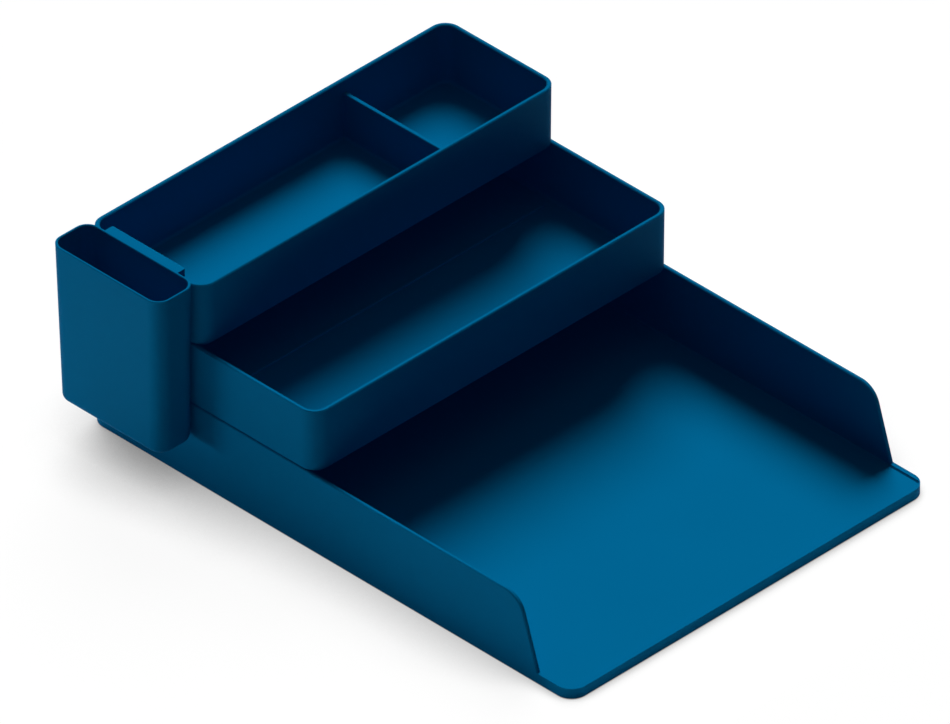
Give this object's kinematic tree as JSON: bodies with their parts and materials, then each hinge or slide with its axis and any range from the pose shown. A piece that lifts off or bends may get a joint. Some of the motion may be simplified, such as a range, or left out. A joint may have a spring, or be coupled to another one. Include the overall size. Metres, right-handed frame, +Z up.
{
  "type": "stackable desk organiser",
  "caption": "Desk organiser: an open-front letter tray with lift-off trays stacked over its back and a narrow pen cup hooked over a side wall.",
  "frame": {"origin": "centre of the whole outline, cup included, on the desk surface under the rubber feet", "axes": "+Z up, +Y from the open front to the back, +X to the right of a person at the open front"},
  "size_m": [0.2662, 0.3238, 0.1173],
  "materials": {
    "moulded_plastic": "satin blue moulded polystyrene with soft highlights",
    "foot_rubber": "matte dark rubber"
  },
  "bodies": {
    "letter_tray": {"letter_tray": "moulded_plastic", "letter_tray_foot_1": "foot_rubber", "letter_tray_foot_2": "foot_rubber", "letter_tray_foot_3": "foot_rubber", "letter_tray_foot_4": "foot_rubber"},
    "middle_tray": {"middle_tray": "moulded_plastic"},
    "top_tray": {"top_tray": "moulded_plastic"},
    "hanging_cup": {"hanging_cup": "moulded_plastic"}
  },
  "joints": [
    {"name": "middle_tray_lift", "type": "slide", "parent": "letter_tray", "child": "middle_tray", "axis": [0, 0, 1], "range_m": [0, 0.05]},
    {"name": "top_tray_lift", "type": "slide", "parent": "middle_tray", "child": "top_tray", "axis": [0, 0, 1], "range_m": [0, 0.05]},
    {"name": "cup_lift", "type": "slide", "parent": "top_tray", "child": "hanging_cup", "axis": [0, 0, 1], "range_m": [0, 0.03]}
  ]
}
